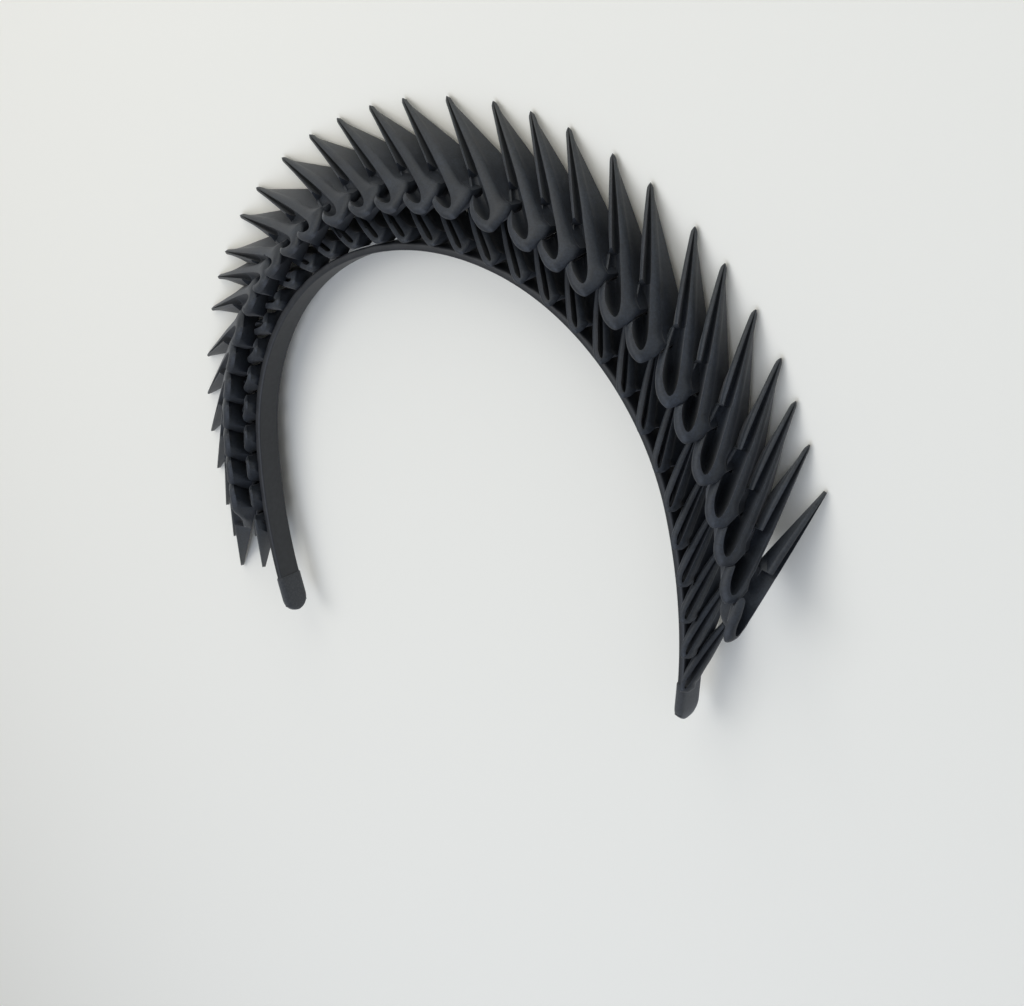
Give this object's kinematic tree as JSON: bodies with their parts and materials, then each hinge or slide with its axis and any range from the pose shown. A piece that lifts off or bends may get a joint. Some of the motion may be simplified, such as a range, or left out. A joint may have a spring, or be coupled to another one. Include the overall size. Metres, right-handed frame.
{
  "type": "origami headpiece",
  "caption": "Stiff horseshoe headband that carries two overlapping rows of long folded spikes, all raked forwards and to the wearer's left.",
  "frame": {"origin": "middle of the bounding box, on the surface that the piece lies on", "axes": "+X to the wearer's right, +Y to the crown of the head, +Z to the back of the head"},
  "size_m": [0.217, 0.149, 0.0224],
  "materials": {
    "folded_sheet": "matt black folded sheet",
    "band": "matt black",
    "cover": "charcoal felted fabric"
  },
  "bodies": {
    "root": {"band": "band", "end_cover_right": "cover", "end_cover_left": "cover", "lower_row": "folded_sheet", "spike_01": "folded_sheet", "spike_02": "folded_sheet", "spike_03": "folded_sheet", "spike_04": "folded_sheet", "spike_05": "folded_sheet", "spike_06": "folded_sheet", "spike_07": "folded_sheet", "spike_08": "folded_sheet", "spike_09": "folded_sheet", "spike_10": "folded_sheet", "spike_11": "folded_sheet", "spike_12": "folded_sheet", "spike_13": "folded_sheet", "spike_14": "folded_sheet", "spike_15": "folded_sheet", "spike_16": "folded_sheet", "spike_17": "folded_sheet", "spike_18": "folded_sheet", "spike_19": "folded_sheet", "spike_20": "folded_sheet", "spike_21": "folded_sheet", "spike_22": "folded_sheet", "spike_23": "folded_sheet", "spike_24": "folded_sheet", "spike_25": "folded_sheet", "spike_26": "folded_sheet", "spike_27": "folded_sheet", "spike_28": "folded_sheet", "spike_29": "folded_sheet", "spike_30": "folded_sheet"}
  },
  "joints": []
}
